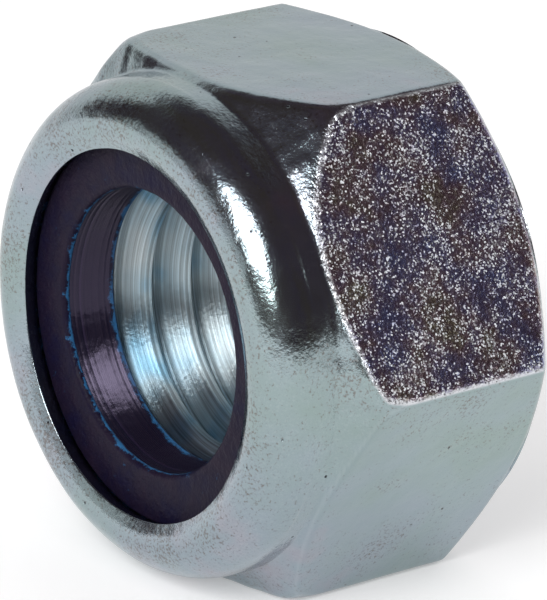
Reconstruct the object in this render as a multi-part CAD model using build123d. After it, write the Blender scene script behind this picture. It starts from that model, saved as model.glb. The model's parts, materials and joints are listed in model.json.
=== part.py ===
from build123d import *
import os
from math import radians, sin, tan

# A prevailing-torque hexagon nut, M10 x 1.5, with a nylon insert held under a crimped collar.
# Millimetres. The nut lies on one flat of its hexagon at z = 0, as a loose nut comes to rest, with
# its thread axis along Y and its collar facing -Y. It is drawn standing on its bearing face, with
# the axis upright and heights measured from that face, and laid down last.

# Hexagon
across_flats = 15.85            # for a 16 mm spanner, forged a little under size
overall_height = 9.9            # a standard nut of this size is 9.64 to 10 high
corner_rounding = 0.4           # cold forming leaves the six long edges round
crown_edge_rounding = 0.3       # where the crown cone meets the flats and corners
bearing_face_inset = 0.05       # the bearing face's edge circle lies this far inside the flats
bearing_chamfer_angle = 34.0    # from the bearing face, cut over the corners alone

# Collar, a wall of one thickness that is crimped over the insert. It goes up the side, turns in
# over the shoulder, turns down in a tighter bend, and bites into the nylon with its end face.
collar_inset = 0.13             # the collar's side lies this far inside the flats
collar_height = 2.05            # from the neck, where the crown cone starts, to the top
collar_wall = 0.85
shoulder_inner_radius = 0.82
shoulder_turn = 60.0            # from upright
crimp_inner_radius = 0.1
lip_turn = 115.0                # from upright, so the lip slopes down by 25 degrees
lip_length = 0.28               # straight end of the wall, past the crimp
neck_rounding = 0.8             # hollow where the collar meets the crown cone
crown_cone_angle = 50.0         # the cone falls away to the corners at this slope

# Thread. The bore stands at the thread's minor diameter: the threads are cut outwards from it.
thread_diameter = 10.0
thread_pitch = 1.5
minor_diameter = thread_diameter - 1.0825 * thread_pitch
entry_countersink = 10.4        # diameter at the bearing face, where the bolt enters
inner_countersink = 9.7         # diameter at the seat, under the insert

# Nylon insert
insert_bore = 8.85              # between the minor and pitch diameters, so a bolt cuts into it
insert_height = 1.95
insert_recess = 0.8             # from the top of the collar down to the insert's face
insert_edge_chamfer = 0.06      # trims both rims of the insert's bore
insert_clearance = 0.02         # between the insert and the collar's wall, on the radius

# Places that follow from the sizes above
flat_distance = across_flats / 2
bearing_face_radius = flat_distance - bearing_face_inset
collar_radius = flat_distance - collar_inset
pocket_radius = collar_radius - collar_wall
shoulder_outer_radius = shoulder_inner_radius + collar_wall
crimp_outer_radius = crimp_inner_radius + collar_wall
crimp_offset = (shoulder_outer_radius - crimp_outer_radius) * Vector(1, 0).rotate(Axis.Z, shoulder_turn)
shoulder_height = overall_height - crimp_outer_radius - crimp_offset.Y
shoulder_centre = Vector(collar_radius - shoulder_outer_radius, shoulder_height)
crimp_centre = shoulder_centre + crimp_offset
insert_face_height = overall_height - insert_recess
seat_height = insert_face_height - insert_height
neck_height = overall_height - collar_height


def crown_cone_height(radius):
    """Height of the cone that slopes from the neck down to the hexagon's corners."""
    return neck_height - (radius - collar_radius) * tan(radians(crown_cone_angle))


def bearing_cone_height(radius):
    """Height of the cone that trims the corners beside the bearing face."""
    return (radius - bearing_face_radius) * tan(radians(bearing_chamfer_angle))


def lip_point(wall_radius):
    """End of the lip's outer or inner face, which bends round the crimp at that radius."""
    outwards = Vector(1, 0).rotate(Axis.Z, lip_turn)
    along = Vector(0, 1).rotate(Axis.Z, lip_turn)
    return crimp_centre + wall_radius * outwards + lip_length * along


def wall_bends(shoulder_radius, crimp_radius):
    """One face of the collar's wall over the shoulder, the crimp and the lip."""
    crimp_turn = lip_turn - shoulder_turn
    shoulder = CenterArc(shoulder_centre, shoulder_radius, 0, shoulder_turn)
    crimp = CenterArc(crimp_centre, crimp_radius, shoulder_turn, crimp_turn)
    lip = Line(crimp @ 1, lip_point(crimp_radius))
    return [shoulder, crimp, lip]


def steel_half_section():
    """Half of the nut's section, from the axis outwards, before the hexagon is cut."""
    corner_distance = flat_distance / sin(radians(60))
    beyond_corners = corner_distance + crown_edge_rounding
    minor_radius = minor_diameter / 2
    entry_depth = entry_countersink / 2 - minor_radius
    inner_depth = inner_countersink / 2 - minor_radius
    # The neck's arc is tangent to the collar's side and to the crown cone.
    neck_turn = 90.0 - crown_cone_angle
    neck_run = neck_rounding * tan(radians(neck_turn / 2))

    bore = Polyline(
        (bearing_face_radius, 0),
        (entry_countersink / 2, 0),
        (minor_radius, entry_depth),
        (minor_radius, seat_height - inner_depth),
        (inner_countersink / 2, seat_height),
        (pocket_radius, seat_height),
        (pocket_radius, shoulder_height),
    )
    inside = wall_bends(shoulder_inner_radius, crimp_inner_radius)
    outside = wall_bends(shoulder_outer_radius, crimp_outer_radius)
    lip_end = Line(lip_point(crimp_inner_radius), lip_point(crimp_outer_radius))
    collar_side = Line((collar_radius, shoulder_height), (collar_radius, neck_height + neck_run))
    neck = CenterArc(
        (collar_radius + neck_rounding, neck_height + neck_run), neck_rounding, 180, neck_turn
    )
    corners = Polyline(
        neck @ 1,
        (beyond_corners, crown_cone_height(beyond_corners)),
        (beyond_corners, bearing_cone_height(beyond_corners)),
        (bearing_face_radius, 0),
    )
    outline = Wire([
        *bore.edges(), *inside, lip_end, *outside, collar_side, neck, *corners.edges(),
    ])
    return make_face(Plane.XZ * outline)


def hexagon_prism():
    """The forged hexagon with two flats square to Y, round along its six corners."""
    hexagon = RegularPolygon(flat_distance, 6, major_radius=False)
    hexagon = fillet(hexagon.vertices(), corner_rounding)
    return extrude(hexagon, overall_height)


def crown_edges(body):
    """The curved edges that the crown cone and the neck leave on the flats and corners."""
    straight_or_round = (GeomType.LINE, GeomType.CIRCLE)
    curved = [edge for edge in body.edges() if edge.geom_type not in straight_or_round]
    return [edge for edge in curved if edge.center().Z > neck_height / 2]


def make_nut_body():
    """The turned section, trimmed to the hexagon, with the edges below the neck rounded."""
    body = revolve(steel_half_section(), Axis.Z) & hexagon_prism()
    return fillet(crown_edges(body), crown_edge_rounding)


def make_nylon_insert():
    """A ring that the lip's heel presses down. Inside the lip it bulges up to its flat face."""
    outer_radius = pocket_radius - insert_clearance
    bore_radius = insert_bore / 2
    heel = lip_point(crimp_inner_radius)
    bulge = insert_face_height - heel.Y
    section = Polyline(
        (bore_radius + insert_edge_chamfer, seat_height),
        (outer_radius, seat_height),
        (outer_radius, shoulder_height),
        (heel.X, heel.Y),
        (heel.X - bulge, insert_face_height),
        (bore_radius + insert_edge_chamfer, insert_face_height),
        (bore_radius, insert_face_height - insert_edge_chamfer),
        (bore_radius, seat_height + insert_edge_chamfer),
        close=True,
    )
    return revolve(make_face(Plane.XZ * section), Axis.Z)


# Laid down: what was up now faces -Y, half the nut's height each side of the origin, and the
# flat that faced -Y rests on the ground.
lying_down = Plane(origin=(0, overall_height / 2, flat_distance), x_dir=(1, 0, 0), z_dir=(0, -1, 0))
nut_body = lying_down.location * make_nut_body()
nylon_insert = lying_down.location * make_nylon_insert()

os.makedirs("parts", exist_ok=True)
export_step(nut_body, "parts/nut_body.step")
export_step(nylon_insert, "parts/nylon_insert.step")
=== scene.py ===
import json
from math import atan2, cos, pi, radians, sin, sqrt, tan
import bmesh
import bpy
from mathutils import Matrix, Vector, noise


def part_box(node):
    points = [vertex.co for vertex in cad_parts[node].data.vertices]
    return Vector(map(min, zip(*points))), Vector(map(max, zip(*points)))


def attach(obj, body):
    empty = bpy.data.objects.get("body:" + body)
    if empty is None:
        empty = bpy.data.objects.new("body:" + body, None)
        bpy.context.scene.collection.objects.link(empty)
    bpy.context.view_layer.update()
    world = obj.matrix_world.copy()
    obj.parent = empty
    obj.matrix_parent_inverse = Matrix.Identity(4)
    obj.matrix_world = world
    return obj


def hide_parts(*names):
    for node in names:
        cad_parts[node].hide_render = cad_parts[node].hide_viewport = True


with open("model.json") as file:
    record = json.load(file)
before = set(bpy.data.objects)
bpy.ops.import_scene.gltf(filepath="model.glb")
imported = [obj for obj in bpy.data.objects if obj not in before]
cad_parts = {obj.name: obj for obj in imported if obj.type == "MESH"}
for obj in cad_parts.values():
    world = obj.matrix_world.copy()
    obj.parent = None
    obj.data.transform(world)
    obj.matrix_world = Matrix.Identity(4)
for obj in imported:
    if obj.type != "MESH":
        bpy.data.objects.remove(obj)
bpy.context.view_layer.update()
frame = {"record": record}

# ---------------------------------------------------------------------------------------------
# Sizes, in metres. The nut's own frame has its thread axis upright, with heights measured from
# the bearing face, as a nut is drawn. LYING_DOWN turns it onto its flat, where the frame has it.
# ---------------------------------------------------------------------------------------------
MM = 0.001
MOUNTS = {mount["name"]: mount for mount in frame["record"]["mounts"]}
STEEL_LOW, STEEL_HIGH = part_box("nut_body")
RING_LOW, RING_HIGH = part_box("nylon_insert")

# Hexagon, with its corners numbered from +X: the crown is formed unevenly from corner to corner.
FLAT_DISTANCE = (STEEL_HIGH.z - STEEL_LOW.z) / 2
NUT_HEIGHT = STEEL_HIGH.y - STEEL_LOW.y
CORNER_DISTANCE = FLAT_DISTANCE / cos(pi / 6)
CORNER_ROUNDING = 0.4 * MM
CROWN_CORNER_ROUNDING = 1.5 * MM  # the forging die isn't quite filled where a corner meets the crown
FLAT_CROWN = 0.03 * MM            # a cold-formed flat stands a little proud in its middle
EDGE_BLEND = 0.28 * MM            # width over which the cones run into the flats
BEARING_FACE_RADIUS = FLAT_DISTANCE - 0.05 * MM
BEARING_CHAMFER = radians(34)
CROWN_SLOPES = [radians(slope) for slope in (35, 55, 33, 42, 42, 38)]
CROWN_BULGES = [bulge * MM for bulge in (0.0, 0.0, 0.1, 0.05, 0.05, 0.0)]

# Wear: how scuffed each flat is, from the one at 30 degrees, and everything that isn't a flat.
FLAT_SCUFFS = (1.0, 0.1, 0.5, 0.9, 0.4, 0.1)
COLLAR_SCUFFS = 0.25
WORN_EDGE = 0.08 * MM             # the flats' edges are rubbed brightest this far below the flat
WORN_WIDTH = 0.035 * MM
FORGED_DENTS = ((0.03 * MM, 2.4 * MM), (0.012 * MM, 0.7 * MM))        # depths and lengths
MOULDED_DENTS = ((0.02 * MM, 1.5 * MM), (0.02 * MM, 0.25 * MM))
DENTED_OUTSIDE = 5.5 * MM         # the steel is dented beyond this radius, clear of the thread
BEARING_FACE_TOP = 0.01 * MM      # what lies lower is the bearing face, which stays flat and clean

# Collar: a wall that turns in over the shoulder and down at the crimp, over the nylon ring.
COLLAR_RADIUS = FLAT_DISTANCE - 0.13 * MM
COLLAR_WALL = 0.85 * MM
SHOULDER_RADIUS = 0.82 * MM + COLLAR_WALL
SHOULDER_TURN = 60
CRIMP_RADIUS = 0.1 * MM + COLLAR_WALL
LIP_TURN = 115
LIP_LENGTH = 0.28 * MM
LIP_UNEVENNESS = [extra * MM for extra in (0.04, 0.08, 0.13, 0.14, 0.0, 0.06)]
LIP_EDGE = 0.07 * MM              # radius left on the wall's sheared end
NECK_HEIGHT = NUT_HEIGHT - 2.25 * MM
NECK_ROUNDING = 0.25 * MM

# Nylon ring
SEAT_HEIGHT = STEEL_HIGH.y - RING_HIGH.y
RING_FACE = STEEL_HIGH.y - RING_LOW.y
RING_RADIUS = (RING_HIGH.x - RING_LOW.x) / 2
RING_BORE = 8.85 * MM / 2
RING_EDGE = 0.2 * MM              # the bore's rim is worn round
RING_CHAMFER = 0.06 * MM          # at the bore's far end
POCKET_RADIUS = COLLAR_RADIUS - COLLAR_WALL

# Thread
THREAD_PITCH = 1.5 * MM
MINOR_RADIUS = MOUNTS["thread"]["dims"]["r_mm"] * MM
MAJOR_RADIUS = 10.1 * MM / 2      # a tap cuts a little past the nominal 10 mm
THREAD_PHASE = 0.8 * MM           # height at which a crest crosses the nut's +X side
ENTRY_COUNTERSINK = 10.4 * MM / 2
INNER_COUNTERSINK = 9.7 * MM / 2

# Mesh
COLUMNS = 288                     # round the nut, a multiple of the six corners
FACE_ROW = 6.4 * MM               # a row of points half-way across the bearing face
SEAT_ROW = 5.6 * MM               # and one half-way across the seat
SAME_PLACE = 2e-4 * MM            # points this near each other are merged
AXIS_HEIGHT = STEEL_LOW.z + FLAT_DISTANCE
LYING_DOWN = Matrix((
    (1, 0, 0, 0),
    (0, 0, -1, STEEL_HIGH.y),
    (0, 1, 0, AXIS_HEIGHT),
    (0, 0, 0, 1),
))


# ---------------------------------------------------------------------------------------------
# Nodes and colours
# ---------------------------------------------------------------------------------------------
def colour(code):
    """A linear colour with alpha from an sRGB hex code such as "A0B4C8"."""
    channels = [int(code[i:i + 2], 16) / 255 for i in (0, 2, 4)]
    return tuple(c / 12.92 if c <= 0.04045 else ((c + 0.055) / 1.055) ** 2.4 for c in channels) + (1.0,)


def add(tree, kind, *values, named=None, stops=None, **settings):
    """A node with its settings. Values fill the inputs in use in order, and named ones by name.

    A node given as a value stands for its first output in use. Stops are a Color Ramp's, each a
    place and either a grey level or a colour."""
    node = tree.nodes.new(kind)
    for name, setting in settings.items():
        setattr(node, name, setting)
    in_use = [socket for socket in node.inputs if socket.enabled]
    filled = list(zip(in_use, values))
    filled += [(node.inputs[name], value) for name, value in (named or {}).items()]
    for socket, value in filled:
        if isinstance(value, bpy.types.Node):
            value = next(output for output in value.outputs if output.enabled)
        if isinstance(value, bpy.types.NodeSocket):
            tree.links.new(value, socket)
        else:
            socket.default_value = value
    for i, (place, level) in enumerate(stops or ()):
        marks = node.color_ramp.elements
        if i == len(marks):
            marks.new(1.0)
        marks[i].position = place
        marks[i].color = level if isinstance(level, tuple) else (level, level, level, 1.0)
    return node


def new_material(name, **constants):
    """A material with a Principled shader, whose constants are set on the shader's own sockets."""
    material = bpy.data.materials.new(name)
    material.use_nodes = True
    shader = material.node_tree.nodes["Principled BSDF"]
    for socket, value in constants.items():
        shader.inputs[socket.replace("_", " ")].default_value = value
    return material, material.node_tree, shader


MATH = "ShaderNodeMath"
VECTOR = "ShaderNodeVectorMath"
RAMP = "ShaderNodeValToRGB"
NOISE = "ShaderNodeTexNoise"
CELLS = "ShaderNodeTexVoronoi"
MIX = "ShaderNodeMix"
RANGE = "ShaderNodeMapRange"


# ---------------------------------------------------------------------------------------------
# Room: camera, table, world and lamps
# ---------------------------------------------------------------------------------------------
def make_camera():
    """A long lens, a little above the nut, with the collar to the front left."""
    camera = bpy.data.objects.new("camera", bpy.data.cameras.new("camera"))
    place = Vector((0.13769, -0.10375, 0.07329))
    right = Vector((0.59644, 0.80227, 0.0251))
    back = Vector((0.74538, -0.5652, 0.3535))
    turn = Matrix((right, back.cross(right), back)).transposed()
    camera.matrix_world = Matrix.Translation(place) @ turn.to_4x4()
    camera.data.sensor_width = 36.0
    camera.data.lens = 10 * camera.data.sensor_width
    camera.data.clip_start = 0.01
    camera.data.clip_end = 20.0
    bpy.context.scene.collection.objects.link(camera)
    bpy.context.scene.camera = camera


def make_table():
    """A white table top, which carries the shadow."""
    reach = 6.0
    corners = [(-reach, -reach, 0), (reach, -reach, 0), (reach, reach, 0), (-reach, reach, 0)]
    mesh = bpy.data.meshes.new("table")
    mesh.from_pydata(corners, [], [(0, 1, 2, 3)])
    table = bpy.data.objects.new("table", mesh)
    bpy.context.scene.collection.objects.link(table)
    # White matt laminate: an even white with no gloss. A little light of its own brings it up to
    # white for the eye and for what mirrors it, and keeps the shadow.
    material, tree, shader = new_material(
        "white_matt_laminate", Base_Color=colour("E7E7E7"), Roughness=1.0, Specular_IOR_Level=0.0,
        Emission_Color=colour("FFFFFF"))
    ray = add(tree, "ShaderNodeLightPath")
    to_eye = add(tree, MATH, ray.outputs["Is Camera Ray"], 0.3, operation="MULTIPLY")
    to_metal = add(tree, MATH, ray.outputs["Is Glossy Ray"], 0.25, operation="MULTIPLY")
    through = ray.outputs["Is Transmission Ray"]
    to_metal = add(tree, MATH, through, 0.25, to_metal, operation="MULTIPLY_ADD")
    glow = add(tree, MATH, to_eye, to_metal, operation="ADD")
    tree.links.new(glow.outputs[0], shader.inputs["Emission Strength"])
    mesh.materials.append(material)


# What stands round the nut in the room, by azimuth from the front towards the right and by
# elevation, in degrees: middle, half width and height, softness of the edge, and brightness.
ROOM_CARDS = (
    ((0, -46), (400, 46), 3, 1.0),          # white sweep under the horizon, all round
    ((-130, 18), (51, 26), 4, 0.8),         # tall white card behind and to the left
    ((-24, 5), (27, 13), 3, 0.7),           # low white card in front and to the left
    ((-86, 0), (20, 8), 3, 0.8),            # foot of the white card
    ((170, 14), (18, 8), 4, 1.0),           # pale card behind and to the right
)


def make_world():
    """A dim room with white cards: what the plated steel mirrors."""
    world = bpy.data.worlds.new("studio")
    world.use_nodes = True
    tree = world.node_tree
    tree.nodes.clear()
    toward = add(tree, "ShaderNodeTexCoord").outputs["Generated"]
    split = add(tree, "ShaderNodeSeparateXYZ", toward)
    forward = add(tree, MATH, split.outputs["Y"], -1.0, operation="MULTIPLY")
    azimuth = add(tree, MATH, split.outputs["X"], forward, operation="ARCTAN2")
    azimuth = add(tree, MATH, azimuth, operation="DEGREES")
    elevation = add(tree, MATH, split.outputs["Z"], operation="ARCSINE")
    elevation = add(tree, MATH, elevation, operation="DEGREES")

    # The dim part of the room isn't even: brown, blue and violet things stand in it.
    clutter = add(tree, NOISE, toward, named={"Scale": 5.0, "Detail": 3.0, "Roughness": 0.6})
    room = add(tree, RAMP, clutter, stops=(
        (0.3, colour("4C4038")), (0.45, colour("4A403E")),
        (0.55, colour("4C4048")), (0.7, colour("40384A"))))
    for middle, half, softness, brightness in ROOM_CARDS:
        lit = None
        for angle, centre, reach in zip((azimuth, elevation), middle, half):
            offset = add(tree, MATH, angle, centre, operation="SUBTRACT")
            offset = add(tree, MATH, offset, 180.0, -180.0, operation="WRAP")
            away = add(tree, MATH, offset, operation="ABSOLUTE")
            inside = add(tree, RANGE, away, reach + softness, reach - softness, 0.0, 1.0,
                         interpolation_type="SMOOTHSTEP")
            lit = inside if lit is None else add(tree, MATH, lit, inside, operation="MULTIPLY")
        lit = add(tree, MATH, lit, brightness, operation="MULTIPLY")
        card = add(tree, "ShaderNodeCombineXYZ", lit, lit, lit)
        room = add(tree, VECTOR, room, card, operation="MAXIMUM")
    background = add(tree, "ShaderNodeBackground", room, 1.0)
    add(tree, "ShaderNodeOutputWorld", background)
    bpy.context.scene.world = world


def aimed_at_nut(azimuth, elevation, distance):
    """The placing of a lamp at that azimuth and elevation in degrees, turned to the nut."""
    across, upward = radians(azimuth), radians(elevation)
    place = Vector((sin(across) * cos(upward), -cos(across) * cos(upward), sin(upward))) * distance
    return Matrix.Translation(place) @ place.to_track_quat("Z", "Y").to_matrix().to_4x4()


def make_lamps():
    """A softbox in front, and a broad soft fill from above that the metal doesn't mirror."""
    softbox = bpy.data.lights.new("softbox", "AREA")
    softbox.shape = "RECTANGLE"
    softbox.size = 0.26
    softbox.size_y = 0.27
    brightness = 8.0                # of its face, where 1 is white
    softbox.energy = pi * softbox.size * softbox.size_y * brightness
    fill = bpy.data.lights.new("fill", "SUN")
    fill.angle = radians(150)
    fill.energy = 1.4
    softbox_place = aimed_at_nut(28, 37, 0.5)
    fill_place = aimed_at_nut(0, 88, 1.0)
    for light, placing in ((softbox, softbox_place), (fill, fill_place)):
        lamp = bpy.data.objects.new(light.name, light)
        lamp.matrix_world = placing
        lamp.visible_glossy = light is softbox
        bpy.context.scene.collection.objects.link(lamp)


# ---------------------------------------------------------------------------------------------
# Materials
# ---------------------------------------------------------------------------------------------
def strokes(tree, place, spacing, length, width, seed):
    """Short scratches at all angles: 1 on a stroke, fading to 0 beside it.

    Each cell of a Voronoi pattern holds one thin rod at a random angle. Where a surface cuts
    along a rod it shows a dash, and where it cuts across, a speck."""
    moved = add(tree, VECTOR, place, (seed, seed * 2.0, seed * 3.0), operation="ADD")
    cells = add(tree, CELLS, named={"Vector": moved, "Scale": 1 / spacing})
    scaled = add(tree, VECTOR, moved, (1 / spacing,) * 3, operation="MULTIPLY")
    offset = add(tree, VECTOR, scaled, cells.outputs["Position"], operation="SUBTRACT")
    lean = add(tree, VECTOR, cells.outputs["Color"], (0.5, 0.5, 0.5), operation="SUBTRACT")
    rod = add(tree, VECTOR, lean, operation="NORMALIZE")
    along = add(tree, VECTOR, offset, rod, operation="DOT_PRODUCT").outputs["Value"]
    across = add(tree, VECTOR, offset, rod, operation="CROSS_PRODUCT")
    across = add(tree, VECTOR, across, operation="LENGTH").outputs["Value"]
    on_line = add(tree, RANGE, across, 0.0, width / spacing, 1.0, 0.0)
    from_middle = add(tree, MATH, along, operation="ABSOLUTE")
    half = length / spacing / 2
    in_reach = add(tree, RANGE, from_middle, 0.8 * half, half, 1.0, 0.0)
    return add(tree, MATH, on_line, in_reach, operation="MULTIPLY")


def zinc_plated_steel():
    """Bright zinc on cold-formed steel: a soft mirror, dented and scuffed by tumbling in a drum."""
    material, tree, shader = new_material("bright_zinc_on_cold_formed_steel", Metallic=1.0)
    place = add(tree, "ShaderNodeTexCoord").outputs["Object"]
    scuffed = add(tree, "ShaderNodeAttribute", attribute_name="scuffed").outputs["Fac"]
    burnished = add(tree, "ShaderNodeAttribute", attribute_name="burnished").outputs["Fac"]

    # Passivation film: its tint drifts from grey-green to blue and pink over a few millimetres.
    drift = add(tree, NOISE, named={
        "Vector": place, "Scale": 1 / (6 * MM), "Detail": 4.0, "Roughness": 0.6})
    film = add(tree, RAMP, drift, stops=(
        (0.3, colour("93A5A2")), (0.45, colour("98A8AC")),
        (0.58, colour("9BA8B1")), (0.7, colour("AAA6B0"))))

    # Where it is heavily scuffed the film is thinner and shows stronger colours, 2 mm apart.
    stains = add(tree, NOISE, named={
        "Vector": place, "Scale": 1 / (2 * MM), "Detail": 4.0, "Roughness": 0.65})
    thinned = add(tree, RAMP, stains, stops=(
        (0.36, colour("929CD2")), (0.46, colour("A49CC2")),
        (0.54, colour("B49CA4")), (0.64, colour("A8A284"))))
    heavily = add(tree, RANGE, scuffed, 0.5, 1.0, 0.0, 0.9)
    film = add(tree, MIX, heavily, film, thinned, data_type="RGBA")

    # Brown specks, about 0.1 mm across, in clouds 2.5 mm apart and thickest on the collar's rim.
    clouds = add(tree, NOISE, named={"Vector": place, "Scale": 1 / (2.5 * MM), "Detail": 2.0})
    specks = add(tree, NOISE, named={
        "Vector": place, "Scale": 1 / (0.1 * MM), "Detail": 3.0, "Roughness": 0.7})
    from_front = add(tree, "ShaderNodeSeparateXYZ", place).outputs["Y"]
    on_rim = add(tree, RANGE, from_front, STEEL_LOW.y, STEEL_LOW.y + 0.6 * MM, 0.07, 0.0)
    specks = add(tree, MATH, specks, on_rim, operation="ADD")
    specks = add(tree, MATH, clouds, 0.4, specks, operation="MULTIPLY_ADD")
    specks = add(tree, RAMP, specks, stops=((0.8, 0.0), (0.9, 0.7)))
    film = add(tree, MIX, specks, film, colour("706660"), data_type="RGBA")

    # Pits in the plating: sparse dark dots, about 0.1 mm across.
    pits = add(tree, CELLS, named={"Vector": place, "Scale": 1 / (0.9 * MM)})
    pit = add(tree, RANGE, pits.outputs["Distance"], 0.03, 0.06, 1.0, 0.0)
    film = add(tree, MIX, pit, film, colour("2A2C30"), data_type="RGBA")

    # Nicks: tiny facets of bare zinc, each with a tilt of its own, that glint where they catch a
    # lamp. They crowd together in patches. The real ones are finer than the 0.05 mm drawn here.
    patches = add(tree, NOISE, named={
        "Vector": place, "Scale": 1 / (1.5 * MM), "Detail": 6.0, "Roughness": 0.8})
    facets = add(tree, CELLS, named={"Vector": place, "Scale": 1 / (0.05 * MM)})
    chance = add(tree, "ShaderNodeTexWhiteNoise", facets.outputs["Position"])
    crowding = add(tree, MATH, patches, 1.6, chance.outputs["Value"], operation="MULTIPLY_ADD")
    crowding = add(tree, MATH, burnished, 0.4, crowding, operation="MULTIPLY_ADD")
    nicked = add(tree, RANGE, crowding, 1.4, 1.8, 0.0, 1.0)
    where_hit = add(tree, RANGE, scuffed, 0.2, 1.0, 0.0, 1.0)
    nicked = add(tree, MATH, nicked, where_hit, operation="MULTIPLY")
    bare = add(tree, MATH, nicked, burnished, operation="MAXIMUM")
    film = add(tree, MIX, bare, film, colour("E0E4E8"), data_type="RGBA")
    tree.links.new(film.outputs[2], shader.inputs["Base Color"])

    # Roughness: the film is mattest in patches, where it is scuffed, and on the worn edges.
    matt = add(tree, RANGE, patches, 0.35, 0.65, 0.12, 0.2)
    matt = add(tree, MATH, scuffed, 0.09, matt, operation="MULTIPLY_ADD")
    matt = add(tree, MATH, burnished, 0.15, matt, operation="MULTIPLY_ADD")
    tree.links.new(matt.outputs[0], shader.inputs["Roughness"])

    # Relief, in millimetres: slow waves, grain (coarser where scuffed), pits and scratches.
    waves = add(tree, NOISE, named={"Vector": place, "Scale": 1 / (1.3 * MM), "Detail": 2.0})
    grain = add(tree, NOISE, named={
        "Vector": place, "Scale": 1 / (0.13 * MM), "Detail": 3.0, "Roughness": 0.6})
    coarse = add(tree, MATH, scuffed, 0.028, 0.003, operation="MULTIPLY_ADD")
    long_scratch = strokes(tree, place, 1.2 * MM, 1.2 * MM, 0.04 * MM, 0.0)
    short_scratch = strokes(tree, place, 0.45 * MM, 0.45 * MM, 0.04 * MM, 0.01)
    scratches = add(tree, MATH, short_scratch, 0.6, long_scratch, operation="MULTIPLY_ADD")
    scratches = add(tree, MATH, scratches, heavily, operation="MULTIPLY")
    height = add(tree, MATH, waves, 0.05, operation="MULTIPLY")
    height = add(tree, MATH, grain, coarse, height, operation="MULTIPLY_ADD")
    height = add(tree, MATH, pit, -0.03, height, operation="MULTIPLY_ADD")
    height = add(tree, MATH, scratches, -0.05, height, operation="MULTIPLY_ADD")
    bump = add(tree, "ShaderNodeBump", named={"Height": height, "Strength": 1.0, "Distance": MM})

    # The nicks' tilts come on top of the relief.
    tilt = add(tree, VECTOR, chance.outputs["Color"], (0.5, 0.5, 0.5), operation="SUBTRACT")
    steepness = add(tree, MATH, nicked, 1.9, operation="MULTIPLY")
    tilt = add(tree, VECTOR, tilt, operation="SCALE", named={"Scale": steepness})
    facing = add(tree, VECTOR, bump, tilt, operation="ADD")
    facing = add(tree, VECTOR, facing, operation="NORMALIZE")
    tree.links.new(facing.outputs[0], shader.inputs["Normal"])
    return material


def round_the_axis(tree, place):
    """The direction round the thread axis at each place, which is how a tool's marks run."""
    spoke = add(tree, VECTOR, place, (0.0, 0.0, AXIS_HEIGHT), operation="SUBTRACT")
    return add(tree, VECTOR, (0.0, 1.0, 0.0), spoke, operation="CROSS_PRODUCT")


def tapped_thread():
    """Zinc over a tapped thread: satin, with the tap's fine lines along it and a bluish film."""
    material, tree, shader = new_material(
        "bright_zinc_on_tapped_thread", Metallic=1.0, Roughness=0.42, Anisotropic=0.95,
        Anisotropic_Rotation=0.25)
    place = add(tree, "ShaderNodeTexCoord").outputs["Object"]
    tree.links.new(round_the_axis(tree, place).outputs[0], shader.inputs["Tangent"])

    # Where a point lies across the thread: the same at every turn, as the same tooth cut them.
    split = add(tree, "ShaderNodeSeparateXYZ", place)
    rise = add(tree, MATH, split.outputs["Z"], AXIS_HEIGHT, operation="SUBTRACT")
    angle = add(tree, MATH, rise, split.outputs["X"], operation="ARCTAN2")
    across = add(tree, MATH, split.outputs["Y"], 2 * pi / THREAD_PITCH, angle, operation="MULTIPLY_ADD")
    lines_at = add(
        tree, "ShaderNodeCombineXYZ", add(tree, MATH, across, operation="COSINE"),
        add(tree, MATH, across, operation="SINE"), add(tree, MATH, angle, operation="COSINE"))
    lines_at = add(tree, VECTOR, lines_at, (3.0, 3.0, 0.5), operation="MULTIPLY")
    lines = add(tree, NOISE, named={"Vector": lines_at, "Scale": 1.0, "Detail": 4.0, "Roughness": 0.75})

    # The film is bluer than outside, in patches of about 2 mm, and worn along the tap's lines.
    tint = add(tree, NOISE, named={"Vector": place, "Scale": 1 / (2 * MM), "Detail": 2.0})
    film = add(tree, RAMP, tint, stops=(
        (0.35, colour("D0DCE0")), (0.55, colour("BACFD8")), (0.7, colour("8CB8D0"))))
    worn = add(tree, RANGE, lines, 0.38, 0.62, 0.55, 1.4)
    film = add(tree, VECTOR, film, worn, operation="SCALE")
    tree.links.new(film.outputs[0], shader.inputs["Base Color"])

    grain = add(tree, NOISE, named={"Vector": place, "Scale": 1 / (0.12 * MM), "Detail": 2.0})
    height = add(tree, MATH, lines, 0.03, operation="MULTIPLY")
    height = add(tree, MATH, grain, 0.008, height, operation="MULTIPLY_ADD")
    bump = add(tree, "ShaderNodeBump", named={"Height": height, "Strength": 1.0, "Distance": MM})
    tree.links.new(bump.outputs[0], shader.inputs["Normal"])
    return material


def painted_blue_edge_highlight(tree, place, body):
    """Colour of the nylon round its bore: a painted bluish highlight, standing in for light caught
    by the edges, in ragged lines at the rim's foot and at the far end of the bore."""
    ragged_noise = add(tree, NOISE, named={
        "Vector": place, "Scale": 1 / (0.5 * MM), "Detail": 6.0, "Roughness": 0.8})
    ragged = add(tree, MATH, ragged_noise, 0.5 * MM, -0.25 * MM, operation="MULTIPLY_ADD")
    height = add(tree, "ShaderNodeSeparateXYZ", place).outputs["Y"]
    height = add(tree, MATH, height, ragged, operation="ADD")
    lines = []
    for line, reach in ((RING_LOW.y + RING_EDGE, 0.17 * MM), (RING_HIGH.y - 0.1 * MM, 0.35 * MM)):
        beside = add(tree, MATH, height, line, operation="SUBTRACT")
        beside = add(tree, MATH, beside, operation="ABSOLUTE")
        lines.append(add(tree, RANGE, beside, 0.0, reach, 0.5, 0.0))
    blue = add(tree, MATH, *lines, operation="MAXIMUM")
    blue = add(tree, MATH, ragged_noise, blue, operation="ADD")
    blue = add(tree, RANGE, blue, 0.84, 1.0, 0.0, 0.9)
    # Painted highlight: blue mixed into the nylon's own colour along those ragged lines.
    return add(tree, MIX, blue, body, colour("2C6390"), data_type="RGBA")


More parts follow.
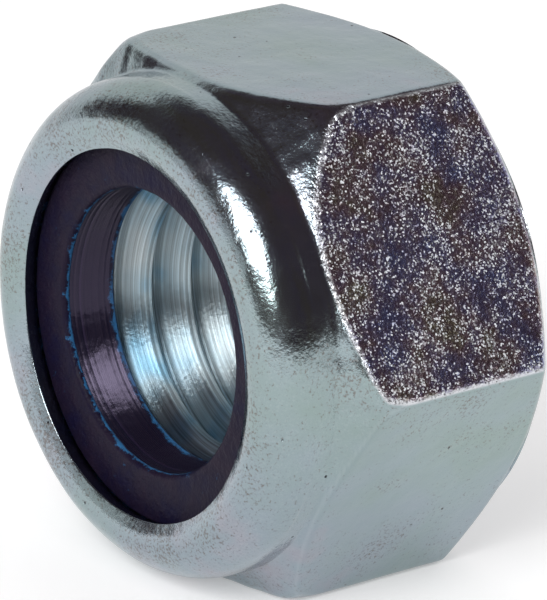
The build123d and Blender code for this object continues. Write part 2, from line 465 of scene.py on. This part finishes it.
def moulded_nylon():
    """Moulded nylon, dyed indigo: dull and waxy, with a painted blue highlight along its rim."""
    material, tree, shader = new_material(
        "moulded_indigo_nylon", IOR=1.53, Roughness=0.45, Specular_IOR_Level=0.1)
    place = add(tree, "ShaderNodeTexCoord").outputs["Object"]
    cloud = add(tree, NOISE, named={
        "Vector": place, "Scale": 1 / (1.2 * MM), "Detail": 5.0, "Roughness": 0.65})
    body = add(tree, RAMP, cloud, stops=(
        (0.35, colour("120F2A")), (0.5, colour("181226")), (0.65, colour("1F1628"))))
    # Painted blue highlight along the bore's rim, mixed into the base colour.
    body = painted_blue_edge_highlight(tree, place, body)
    tree.links.new(body.outputs[2], shader.inputs["Base Color"])
    grain = add(tree, NOISE, named={"Vector": place, "Scale": 1 / (0.15 * MM), "Detail": 3.0})
    height = add(tree, MATH, cloud, 0.08, operation="MULTIPLY")
    height = add(tree, MATH, grain, 0.02, height, operation="MULTIPLY_ADD")
    bump = add(tree, "ShaderNodeBump", named={"Height": height, "Strength": 1.0, "Distance": MM})
    tree.links.new(bump.outputs[0], shader.inputs["Normal"])
    return material


def turned_nylon():
    """The same nylon where the bore was turned: a lilac sheen over fine tool marks round it."""
    material, tree, shader = new_material(
        "turned_indigo_nylon", IOR=1.53, Roughness=0.28, Specular_IOR_Level=0.5, Anisotropic=0.7,
        Anisotropic_Rotation=0.25, Specular_Tint=colour("E4D6FF"))
    place = add(tree, "ShaderNodeTexCoord").outputs["Object"]
    tree.links.new(round_the_axis(tree, place).outputs[0], shader.inputs["Tangent"])

    # Tool marks, drawn 0.07 mm apart: the real ones are too fine to show. Each is a long slope
    # that leans towards the opening and a short drop, as a boring bar leaves it.
    along_bore = add(tree, "ShaderNodeSeparateXYZ", place).outputs["Y"]
    wander = add(tree, NOISE, named={"Vector": place, "Scale": 1 / (2 * MM), "Detail": 2.0})
    marks = add(tree, MATH, along_bore, 1 / (0.07 * MM), wander, operation="MULTIPLY_ADD")
    mark = add(tree, MATH, marks, operation="FLOOR")
    share = add(tree, MATH, marks, operation="FRACT")
    chance = add(tree, "ShaderNodeTexWhiteNoise", named={"W": mark}, noise_dimensions="1D")
    body = add(tree, RAMP, chance, stops=(
        (0.0, colour("0C0B1C")), (0.9, colour("15101F")), (1.0, colour("34284A"))))
    # Painted blue highlight at the bore's rim foot and far end, mixed into the base colour.
    body = painted_blue_edge_highlight(tree, place, body)
    tree.links.new(body.outputs[2], shader.inputs["Base Color"])
    slope = add(tree, MATH, chance, 0.5, 0.5, operation="MULTIPLY_ADD")
    slope = add(tree, MATH, share, slope, operation="MULTIPLY")
    grain = add(tree, NOISE, named={"Vector": place, "Scale": 1 / (0.15 * MM), "Detail": 3.0})
    height = add(tree, MATH, slope, 0.07, operation="MULTIPLY")
    height = add(tree, MATH, grain, 0.01, height, operation="MULTIPLY_ADD")
    bump = add(tree, "ShaderNodeBump", named={"Height": height, "Strength": 1.0, "Distance": MM})
    tree.links.new(bump.outputs[0], shader.inputs["Normal"])
    return material


# ---------------------------------------------------------------------------------------------
# Sections, each a list of (radius, height)
# ---------------------------------------------------------------------------------------------
def from_point(point, distance, direction):
    """The point at that distance from another, in a direction in degrees from outwards."""
    turn = radians(direction)
    return (point[0] + distance * cos(turn), point[1] + distance * sin(turn))


def arc(centre, radius, start, end, steps):
    """Points on an arc between two directions in degrees."""
    return [from_point(centre, radius, start + (end - start) * i / steps) for i in range(steps + 1)]


def between(low, high, count):
    """That many even steps from low, without high itself."""
    return [low + (high - low) * i / count for i in range(count)]


def at_corners(angle, values):
    """A value that is given at each of the six corners, and eased between them."""
    place = angle / (pi / 3) % 6
    corner = int(place)
    share = place - corner
    ease = share * share * (3 - 2 * share)
    return values[corner % 6] * (1 - ease) + values[(corner + 1) % 6] * ease


CRIMP_REACH = SHOULDER_RADIUS - CRIMP_RADIUS
SHOULDER_HEIGHT = NUT_HEIGHT - CRIMP_RADIUS - CRIMP_REACH * sin(radians(SHOULDER_TURN))
SHOULDER_CENTRE = (COLLAR_RADIUS - SHOULDER_RADIUS, SHOULDER_HEIGHT)
CRIMP_CENTRE = from_point(SHOULDER_CENTRE, CRIMP_REACH, SHOULDER_TURN)
LIP_SLOPE = LIP_TURN + 90         # direction of the lip's top face, inwards and down


def lip_end(angle):
    """Tip and heel of the lip there. The crimping tool turned it in a little unevenly."""
    length = LIP_LENGTH + at_corners(angle, LIP_UNEVENNESS)
    tip = from_point(from_point(CRIMP_CENTRE, CRIMP_RADIUS, LIP_TURN), length, LIP_SLOPE)
    return tip, from_point(tip, -COLLAR_WALL, LIP_TURN)


def collar_section(angle):
    """Up over the shoulder, the crimp and the lip, then down inside the collar to the seat."""
    tip, heel = lip_end(angle)
    edge_centre = from_point(from_point(tip, -LIP_EDGE, LIP_TURN), -LIP_EDGE, LIP_SLOPE)
    outside = arc(SHOULDER_CENTRE, SHOULDER_RADIUS, 0, SHOULDER_TURN, 22)
    outside += arc(CRIMP_CENTRE, CRIMP_RADIUS, SHOULDER_TURN, LIP_TURN, 18)[1:]
    outside += arc(edge_centre, LIP_EDGE, LIP_TURN, LIP_SLOPE, 5)
    outside += [from_point(tip, -share * COLLAR_WALL, LIP_TURN) for share in (0.3, 0.55, 0.8)]
    wall = CRIMP_RADIUS - COLLAR_WALL
    inside = [heel] + arc(CRIMP_CENTRE, wall, LIP_TURN, SHOULDER_TURN, 2)
    inside += arc(SHOULDER_CENTRE, SHOULDER_RADIUS - COLLAR_WALL, SHOULDER_TURN, 0, 4)[1:]
    inside += [(POCKET_RADIUS, SEAT_HEIGHT)]
    return [(min(r, hexagon_radius(angle, h)), h, angle) for r, h in outside + inside]


def ring_section(angle):
    """Up the nylon ring's outside, over its bulge inside the lip, and down its bore."""
    heel = lip_end(angle)[1]
    bulge = RING_FACE - heel[1]
    rim = RING_BORE + RING_EDGE
    face = heel[0] - bulge - rim
    foot = SEAT_HEIGHT + RING_CHAMFER
    section = [(r, SEAT_HEIGHT) for r in (RING_BORE + RING_CHAMFER, SEAT_ROW, RING_RADIUS)]
    section += [(RING_RADIUS, SHOULDER_HEIGHT), heel]
    section += arc((heel[0] - bulge, RING_FACE - bulge), bulge, 20, 90, 6)
    section += [(rim + face * share, RING_FACE) for share in (0.85, 0.7, 0.55, 0.4, 0.25, 0.12)]
    section += arc((rim, RING_FACE - RING_EDGE), RING_EDGE, 90, 180, 6)
    section += [(RING_BORE, h) for h in between(RING_FACE - 1.3 * RING_EDGE, foot, 10)]
    section += [(RING_BORE, foot)]
    return [(r, h, angle) for r, h in section]


# ---------------------------------------------------------------------------------------------
# Steel body
# ---------------------------------------------------------------------------------------------
def column_angles():
    """Angles round the nut, about three times as close at the six corners as on the flats."""
    half = COLUMNS // 12
    steps = [(corner, step / half) for corner in range(6) for step in range(-half, half)]
    return [radians(60 * corner + 30 * (0.35 * share + 0.65 * share ** 3)) for corner, share in steps]


def hexagon_radius(angle, height):
    """Distance from the axis to the side of the hexagon, whose corners are rounded."""
    from_corner = abs((angle + pi / 6) % (pi / 3) - pi / 6)
    from_flat = pi / 6 - from_corner
    # The rounding grows from 0.9 mm below the crown's start at the corner to 0.4 mm above it.
    fall = (CORNER_DISTANCE - COLLAR_RADIUS) * tan(at_corners(angle, CROWN_SLOPES))
    growth = min(max((height - (NECK_HEIGHT - fall) + 0.9 * MM) / (1.3 * MM), 0.0), 1.0)
    rounding = CORNER_ROUNDING + (CROWN_CORNER_ROUNDING - CORNER_ROUNDING) * growth ** 1.5
    sunk = FLAT_CROWN * (tan(from_flat) / tan(pi / 6)) ** 2
    if tan(from_flat) < (1 - rounding / FLAT_DISTANCE) * tan(pi / 6):
        return (FLAT_DISTANCE - sunk) / cos(from_flat)
    centre = (FLAT_DISTANCE - rounding - sunk) / cos(pi / 6)
    return centre * cos(from_corner) + sqrt(rounding ** 2 - (centre * sin(from_corner)) ** 2)


def crown_radius(angle, height):
    """Distance from the axis to the crown: a cone under the collar, with a hollow at the neck."""
    slope = at_corners(angle, CROWN_SLOPES)
    neck_turn = pi / 2 - slope
    neck_top = NECK_HEIGHT + NECK_ROUNDING * tan(neck_turn / 2)
    if height >= neck_top:
        return COLLAR_RADIUS
    if height > neck_top - NECK_ROUNDING * sin(neck_turn):
        return COLLAR_RADIUS + NECK_ROUNDING - sqrt(NECK_ROUNDING ** 2 - (neck_top - height) ** 2)
    share = min((NECK_HEIGHT - height) / ((CORNER_DISTANCE - COLLAR_RADIUS) * tan(slope)), 1)
    bulge = 4 * share * (1 - share) * at_corners(angle, CROWN_BULGES)
    return COLLAR_RADIUS + (NECK_HEIGHT - height) / tan(slope) + bulge


def blended_minimum(a, b, width):
    """The lesser of two radii, with the edge where they cross rounded over that width."""
    overlap = max(width - abs(a - b), 0.0) / width
    return min(a, b) - overlap * overlap * width / 4


def side_rows(angles):
    """Rows up the nut's side: bearing chamfer, plain hexagon, and crown with the collar's side."""
    bands = ((0.03 * MM, 1.0 * MM, 15), (1.0 * MM, 4.4 * MM, 10), (4.4 * MM, SHOULDER_HEIGHT, 58))
    rows = []
    for height in [h for band in bands for h in between(*band)]:
        row = []
        for angle in angles:
            # Forming leaves the crown's line wavering by a tenth of a millimetre.
            waver = 0.1 * MM * noise.noise(Vector((3 * cos(angle), 3 * sin(angle), 7.0)))
            waver += 0.04 * MM * noise.noise(Vector((14 * cos(angle), 14 * sin(angle), 3.0)))
            crown = crown_radius(angle, height + waver)
            chamfer = BEARING_FACE_RADIUS + height / tan(BEARING_CHAMFER)
            radius = blended_minimum(min(crown, chamfer), hexagon_radius(angle, height), EDGE_BLEND)
            row.append((radius, height, angle))
        rows.append(row)
    return rows


def revolved(rows, name):
    """A mesh with a strip of faces between each row of (radius, height, angle) and the next."""
    vertices = [(r * cos(a), r * sin(a), h) for row in rows for r, h, a in row]
    count = len(rows[0])
    faces = []
    for row in range(len(rows) - 1):
        for column in range(count):
            across = (column + 1) % count
            here, above = row * count, (row + 1) * count
            faces.append((here + column, here + across, above + across, above + column))
    mesh = bpy.data.meshes.new(name)
    mesh.from_pydata(vertices, [], faces)
    return mesh


def steel_shell():
    """Everything but the threaded bore: bearing face, hexagon, collar, lip, pocket and seat."""
    angles = column_angles()
    even = [2 * pi * (i - COLUMNS // 12) / COLUMNS for i in range(COLUMNS)]
    rows = [[(ENTRY_COUNTERSINK, 0.0, a) for a in even]]
    rows += [[(r, 0.0, a) for a in angles] for r in (FACE_ROW, BEARING_FACE_RADIUS)]
    rows += side_rows(angles)
    rows += zip(*[collar_section(a) for a in angles])
    rows.append([(SEAT_ROW, SEAT_HEIGHT, a) for a in angles])
    rows.append([(INNER_COUNTERSINK, SEAT_HEIGHT, a) for a in even])
    return revolved(rows, "steel_shell")


def threaded_bore_tree():
    """Geometry Nodes: a tapped hole's wall between two countersinks, wound along its own helix.

    The grid's rows follow the thread, so that crests and flanks are clean lines of faces. Rows
    past either end of the hole are pressed onto its rim and merge there."""
    tree = bpy.data.node_groups.new("threaded_bore", "GeometryNodeTree")
    sizes = ("Minor Radius", "Major Radius", "Pitch", "Phase", "Length", "Entry Radius", "Inner Radius")
    for size in sizes:
        tree.interface.new_socket(size, in_out="INPUT", socket_type="NodeSocketFloat")
    for count in ("Rows Per Turn", "Columns"):
        tree.interface.new_socket(count, in_out="INPUT", socket_type="NodeSocketInt")
    tree.interface.new_socket("Material", in_out="INPUT", socket_type="NodeSocketMaterial")
    tree.interface.new_socket("Geometry", in_out="OUTPUT", socket_type="NodeSocketGeometry")
    given = add(tree, "NodeGroupInput").outputs
    pitch = given["Pitch"]

    # A flat grid, one full turn wide, as tall as the hole and one turn more.
    row_height = add(tree, MATH, pitch, given["Rows Per Turn"], operation="DIVIDE")
    tall = add(tree, MATH, given["Length"], pitch, operation="ADD")
    row_count = add(tree, MATH, tall, row_height, operation="DIVIDE")
    row_count = add(tree, MATH, row_count, operation="CEIL")
    tall = add(tree, MATH, row_count, row_height, operation="MULTIPLY")
    across = add(tree, MATH, given["Columns"], 1.0, operation="ADD")
    upward = add(tree, MATH, row_count, 1.0, operation="ADD")
    grid = add(tree, "GeometryNodeMeshGrid", 2 * pi, tall, across, upward)
    spot = add(tree, "ShaderNodeSeparateXYZ", add(tree, "GeometryNodeInputPosition"))

    # Each column starts a little higher than the last, by one pitch over the whole turn.
    angle = add(tree, MATH, spot.outputs["X"], pi, operation="ADD")
    turns = add(tree, MATH, angle, 2 * pi, operation="DIVIDE")
    climb = add(tree, MATH, turns, pitch, operation="MULTIPLY")
    middle = add(tree, MATH, tall, 0.5, spot.outputs["Y"], operation="MULTIPLY_ADD")
    start = add(tree, MATH, middle, pitch, operation="SUBTRACT")
    wound = add(tree, MATH, start, climb, operation="ADD")
    height = add(tree, MATH, wound, 0.0, operation="MAXIMUM")
    height = add(tree, MATH, height, given["Length"], operation="MINIMUM")

    # Distance from the nearest crest's middle, in pitches, and from that the depth of the cut:
    # the flanks stand at 60 degrees to each other, and the root is an eighth of a pitch wide.
    # The 40 whole pitches only keep the value above zero.
    along = add(tree, MATH, height, climb, operation="SUBTRACT")
    along = add(tree, MATH, along, given["Phase"], operation="SUBTRACT")
    along = add(tree, MATH, along, pitch, operation="DIVIDE")
    along = add(tree, MATH, along, 40.0, operation="ADD")
    from_crest = add(tree, MATH, along, 0.5, operation="PINGPONG")
    depth = add(tree, MATH, given["Major Radius"], given["Minor Radius"], operation="SUBTRACT")
    flank = add(tree, MATH, depth, tan(pi / 6), operation="MULTIPLY")
    flank = add(tree, MATH, flank, pitch, operation="DIVIDE")
    root_edge = 0.5 - 1 / 16
    crest_edge = add(tree, MATH, root_edge, flank, operation="SUBTRACT")
    cut = add(tree, RANGE, from_crest, crest_edge, root_edge, 0.0, 1.0)
    thread = add(tree, MATH, cut, depth, given["Minor Radius"], operation="MULTIPLY_ADD")

    # The countersinks slope at 45 degrees, and their rims lie flush with the faces.
    entry = add(tree, MATH, given["Entry Radius"], height, operation="SUBTRACT")
    to_seat = add(tree, MATH, given["Length"], height, operation="SUBTRACT")
    inner = add(tree, MATH, given["Inner Radius"], to_seat, operation="SUBTRACT")
    cone = add(tree, MATH, entry, inner, operation="MAXIMUM")
    radius = add(tree, MATH, thread, cone, operation="MAXIMUM")
    at_entry = add(tree, MATH, height, SAME_PLACE / 2, operation="LESS_THAN")
    at_seat = add(tree, MATH, to_seat, SAME_PLACE / 2, operation="LESS_THAN")
    at_rim = add(tree, MATH, at_entry, at_seat, operation="MAXIMUM")
    radius = add(tree, MIX, at_rim, radius, cone)
    outward = add(tree, MATH, angle, operation="COSINE")
    outward = add(tree, MATH, radius, outward, operation="MULTIPLY")
    sideways = add(tree, MATH, angle, operation="SINE")
    sideways = add(tree, MATH, radius, sideways, operation="MULTIPLY")
    place = add(tree, "ShaderNodeCombineXYZ", outward, sideways, height)
    wall = add(tree, "GeometryNodeSetPosition", grid, named={"Position": place})
    wall = add(tree, "GeometryNodeMergeByDistance", wall, named={"Distance": SAME_PLACE})
    wall = add(tree, "GeometryNodeRealizeInstances", wall)
    wall = add(tree, "GeometryNodeSetMaterial", wall, named={"Material": given["Material"]})
    add(tree, "NodeGroupOutput", wall)
    return tree


def threaded_bore(material):
    """The tapped hole as a plain mesh, in the nut's own frame."""
    tree = threaded_bore_tree()
    carrier = bpy.data.objects.new("threaded_bore", bpy.data.meshes.new("threaded_bore"))
    bpy.context.scene.collection.objects.link(carrier)
    modifier = carrier.modifiers.new("thread", "NODES")
    modifier.node_group = tree
    sizes = {
        "Minor Radius": MINOR_RADIUS, "Major Radius": MAJOR_RADIUS, "Pitch": THREAD_PITCH,
        "Phase": THREAD_PHASE, "Length": SEAT_HEIGHT, "Entry Radius": ENTRY_COUNTERSINK,
        "Inner Radius": INNER_COUNTERSINK, "Rows Per Turn": 32, "Columns": COLUMNS, "Material": material,
    }
    for socket in tree.interface.items_tree:
        if socket.in_out == "INPUT":
            modifier[socket.identifier] = sizes[socket.name]
    evaluated = carrier.evaluated_get(bpy.context.evaluated_depsgraph_get())
    mesh = bpy.data.meshes.new_from_object(evaluated)
    bpy.data.objects.remove(carrier)
    return mesh


def wear(body, vertices, waves):
    """Presses the surface in by uneven amounts, each wave a depth and a length."""
    body.normal_update()
    for vertex in vertices:
        sunk = sum(depth * (0.5 + 0.5 * noise.noise(vertex.co / length)) for depth, length in waves)
        vertex.co -= vertex.normal * sunk


def finished_piece(name, body, materials, node):
    """Lays a mesh down in its place in the room, and makes it the piece that stands for a node."""
    bmesh.ops.transform(body, matrix=LYING_DOWN, verts=body.verts)
    gaps = sum(1 for edge in body.edges if not edge.is_manifold)
    mesh = bpy.data.meshes.new(name)
    body.to_mesh(mesh)
    body.free()
    print(name, "faces", len(mesh.polygons), "edges that don't join two faces", gaps)
    for material in materials:
        mesh.materials.append(material)
    mesh.shade_smooth()
    mesh.set_sharp_from_angle(angle=radians(70))
    piece = bpy.data.objects.new(name, mesh)
    bpy.context.scene.collection.objects.link(piece)
    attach(piece, "root")
    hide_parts(node)


def below_flat(place, flat):
    """How far inside a flat's plane a place lies, with the flats counted from 30 degrees."""
    turn = radians(30 + 60 * flat)
    return FLAT_DISTANCE - place.x * cos(turn) - place.y * sin(turn)


def scuffs(place):
    """How scuffed a place is: each flat by its share, as far as it stands out past the collar."""
    if place.z < BEARING_FACE_TOP:
        return COLLAR_SCUFFS
    flat = int(atan2(place.y, place.x) % (2 * pi) / (pi / 3)) % 6
    above_collar = FLAT_DISTANCE - COLLAR_RADIUS - below_flat(place, flat)
    on_flat = min(max(above_collar / (0.05 * MM), 0.0), 1.0)
    return COLLAR_SCUFFS + (FLAT_SCUFFS[flat] - COLLAR_SCUFFS) * on_flat


def burnish(place):
    """How far a place is rubbed bright: the rounded edges of the flats that have been knocked."""
    if place.z < BEARING_FACE_TOP:
        return 0.0
    brightest = 0.0
    for flat, scuffed in enumerate(FLAT_SCUFFS):
        near = 1.3 - abs(below_flat(place, flat) - WORN_EDGE) / WORN_WIDTH
        brightest = max(brightest, min(near, 1.0) * scuffed)
    return brightest


def make_steel_nut():
    """Shell and bore in one closed mesh."""
    plated, thread = zinc_plated_steel(), tapped_thread()
    body = bmesh.new()
    body.from_mesh(steel_shell())
    shell_faces = len(body.faces)
    body.from_mesh(threaded_bore(thread))
    body.faces.ensure_lookup_table()
    for face in body.faces[shell_faces:]:
        face.material_index = 1
    bmesh.ops.remove_doubles(body, verts=body.verts, dist=10 * SAME_PLACE)
    bmesh.ops.recalc_face_normals(body, faces=body.faces)
    scuffed = body.verts.layers.float.new("scuffed")
    burnished = body.verts.layers.float.new("burnished")
    for vertex in body.verts:
        vertex[scuffed] = scuffs(vertex.co)
        vertex[burnished] = burnish(vertex.co)
    outside = [v for v in body.verts if v.co.xy.length > DENTED_OUTSIDE]
    wear(body, [v for v in outside if v.co.z > BEARING_FACE_TOP], FORGED_DENTS)
    finished_piece("steel_nut", body, (plated, thread), "nut_body")


def make_nylon_ring():
    """The nylon ring, with a painted blue highlight along its rim and an uneven face."""
    rows = list(zip(*[ring_section(2 * pi * i / 360) for i in range(360)]))
    rows.append(rows[0])
    body = bmesh.new()
    body.from_mesh(revolved(rows, "nylon_ring"))
    bmesh.ops.remove_doubles(body, verts=body.verts, dist=SAME_PLACE)
    bmesh.ops.recalc_face_normals(body, faces=body.faces)
    at_face = [v.co.z > RING_FACE - 0.15 * MM for v in body.verts]
    in_bore = [v.co.xy.length < RING_BORE + 0.01 * MM for v in body.verts]
    shown = [v for v, face, bore in zip(body.verts, at_face, in_bore) if face or bore]
    wear(body, shown, MOULDED_DENTS)
    for face in body.faces:
        middle = face.calc_center_median()
        on_wall = middle.xy.length < RING_BORE + 0.03 * MM
        face.material_index = int(on_wall and middle.z < RING_FACE - 1.2 * RING_EDGE)
    finished_piece("nylon_ring", body, (moulded_nylon(), turned_nylon()), "nylon_insert")


make_camera()
make_table()
make_world()
make_lamps()
make_steel_nut()
make_nylon_ring()

bpy.context.scene.view_settings.view_transform = "Standard"
